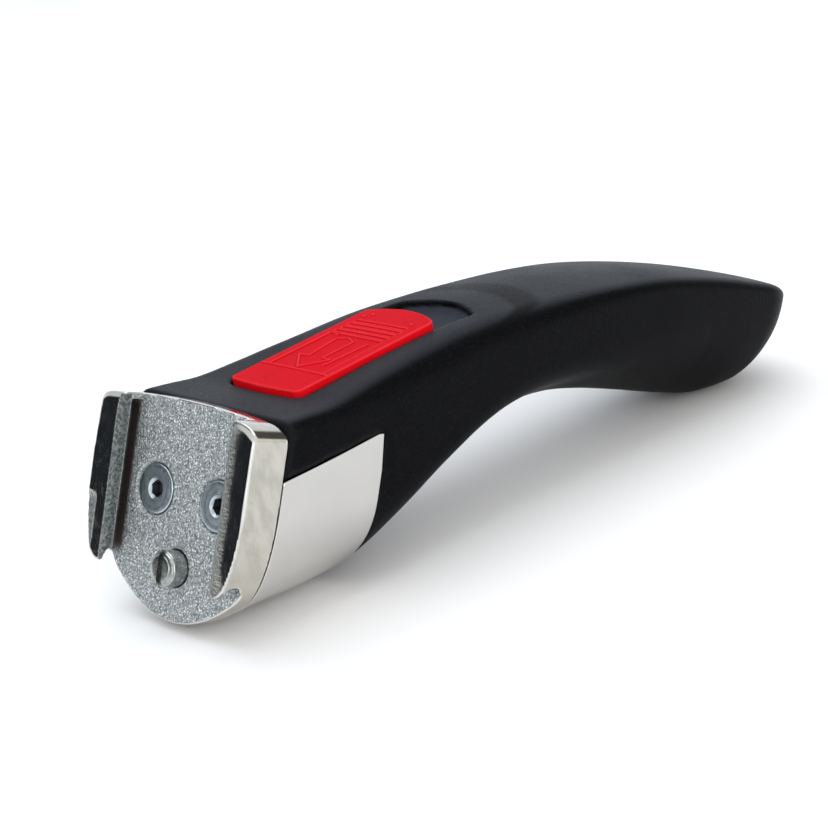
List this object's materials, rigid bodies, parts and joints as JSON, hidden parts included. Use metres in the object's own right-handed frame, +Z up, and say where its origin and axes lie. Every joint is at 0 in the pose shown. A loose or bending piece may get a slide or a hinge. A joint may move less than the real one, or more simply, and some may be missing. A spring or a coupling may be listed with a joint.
{
  "type": "detachable pan handle",
  "caption": "Detachable pan handle: cast head with grooved side rails and a spring latch pin, red thumb release, steel belly cover, curved black grip.",
  "frame": {"origin": "centre of the bounding box at the surface the handle lies on", "axes": "+X from the head towards the tail of the grip, +Z up with the handle lying on its belly and the underside of its tail, +Y to its left seen from the tail"},
  "size_m": [0.2004, 0.0432, 0.0444],
  "materials": {
    "cast_head": "sand-cast face, polished rails",
    "black_grip": "fine matte grain",
    "polished_steel": "polished",
    "zinc_screw": "zinc plated",
    "brass": "turned",
    "steel_rod": "ground",
    "steel_pin": "turned, nickel plated",
    "zinc_carriage": "die cast",
    "spring_steel": "drawn wire",
    "red_plastic": "satin",
    "dark_plastic": "moulded"
  },
  "bodies": {
    "handle": {"head_plate": "cast_head", "handle_body": "black_grip", "belly_cover": "polished_steel", "cover_screw": "zinc_screw", "plate_screw_left": "zinc_screw", "plate_screw_right": "zinc_screw", "screw_insert_left": "brass", "screw_insert_right": "brass", "guide_rod_left": "steel_rod", "guide_rod_right": "steel_rod", "pin_bush": "brass", "spring_rod": "steel_rod", "rod_clip": "steel_rod", "spring_washer": "steel_rod", "rod_seat": "zinc_carriage", "return_spring": "spring_steel"},
    "latch": {"latch_pin": "steel_pin", "carriage": "zinc_carriage"},
    "release": {"release_button": "red_plastic", "drive_post": "dark_plastic", "button_screw_front": "zinc_screw", "button_screw_rear": "zinc_screw"}
  },
  "joints": [
    {"name": "release_slide", "type": "slide", "parent": "handle", "child": "release", "axis": [0.9951, 0, 0.0993], "range_m": [0, 0.0055], "stiffness_N_per_m": 150, "springref_m": -0.01},
    {"name": "pin_slide", "type": "slide", "parent": "handle", "child": "latch", "axis": [0.9494, 0, -0.314], "range_m": [0, 0.00502], "deforming": ["return_spring"]}
  ],
  "couplings": [
    {"joint": "pin_slide", "follows": "release_slide", "ratio": 0.91355}
  ]
}
